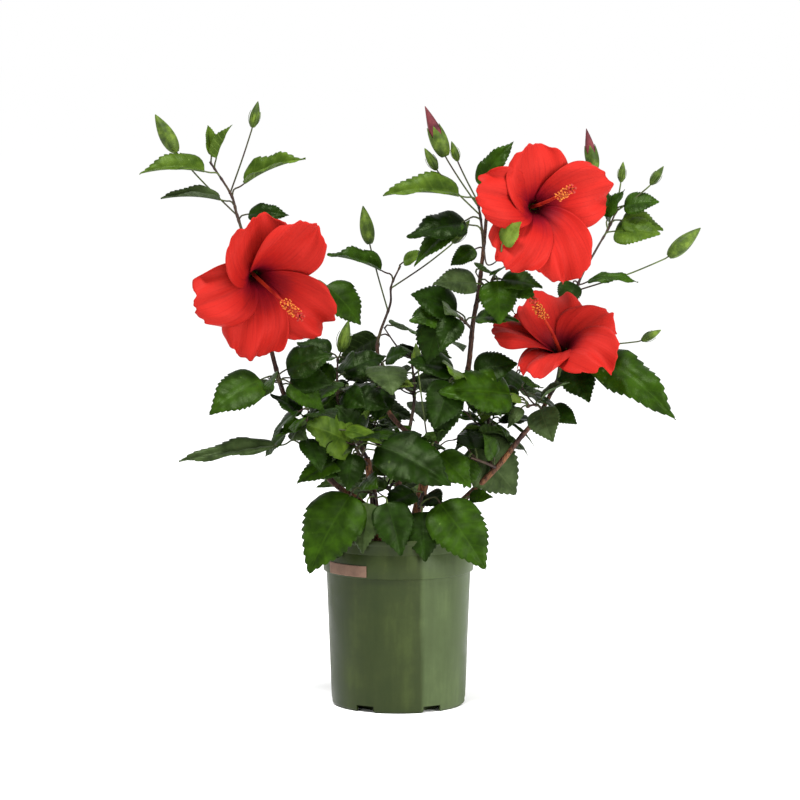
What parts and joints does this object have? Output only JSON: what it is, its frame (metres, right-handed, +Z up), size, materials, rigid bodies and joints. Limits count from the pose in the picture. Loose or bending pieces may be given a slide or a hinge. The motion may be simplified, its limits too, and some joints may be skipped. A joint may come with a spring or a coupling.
{
  "type": "potted hibiscus shrub",
  "caption": "Open, vase-shaped hibiscus shrub with glossy toothed leaves, buds and large scarlet blooms, standing in its round green plastic nursery pot.",
  "frame": {"origin": "centre of the pot's flat underside, at the level that it stands on", "axes": "+Z up, +X to the right and -Y to the front, where the blooms face"},
  "size_m": [0.5445, 0.2708, 0.5908],
  "materials": {
    "pot": "olive green moulded polypropylene, satin, dusty",
    "soil": "dark moist peat and bark crumbs",
    "label": "plain salmon paper strip, weathered",
    "bark": "grey-brown to tan young bark, matt",
    "foliage": "glossy deep green leaves on green stalks",
    "bloom": "scarlet petals with a crimson throat, satin"
  },
  "bodies": {
    "root": {"pot": "pot", "soil": "soil", "rim_label": "label", "stem_left": "bark", "stem_right": "bark", "bough_right": "bark", "stem_back": "bark", "bough_left": "bark", "bough_centre": "bark", "bough_up": "bark", "bloom_left": "bloom", "bloom_upper_right": "bloom", "bloom_lower_right": "bloom", "foliage_left_top": "foliage", "foliage_left": "foliage", "foliage_left_low": "foliage", "foliage_inner": "foliage", "foliage_front": "foliage", "foliage_skirt_left": "foliage", "foliage_skirt_right": "foliage", "foliage_centre_front": "foliage", "foliage_centre_mid": "foliage", "foliage_centre_top": "foliage", "foliage_up_top": "foliage", "foliage_up_mid": "foliage", "foliage_up_left": "foliage", "foliage_right_mid": "foliage", "foliage_up_low": "foliage", "foliage_right_low": "foliage", "foliage_right_top": "foliage", "foliage_back": "foliage", "foliage_back_low": "foliage", "foliage_back_left": "foliage", "foliage_back_right": "foliage"}
  },
  "joints": []
}
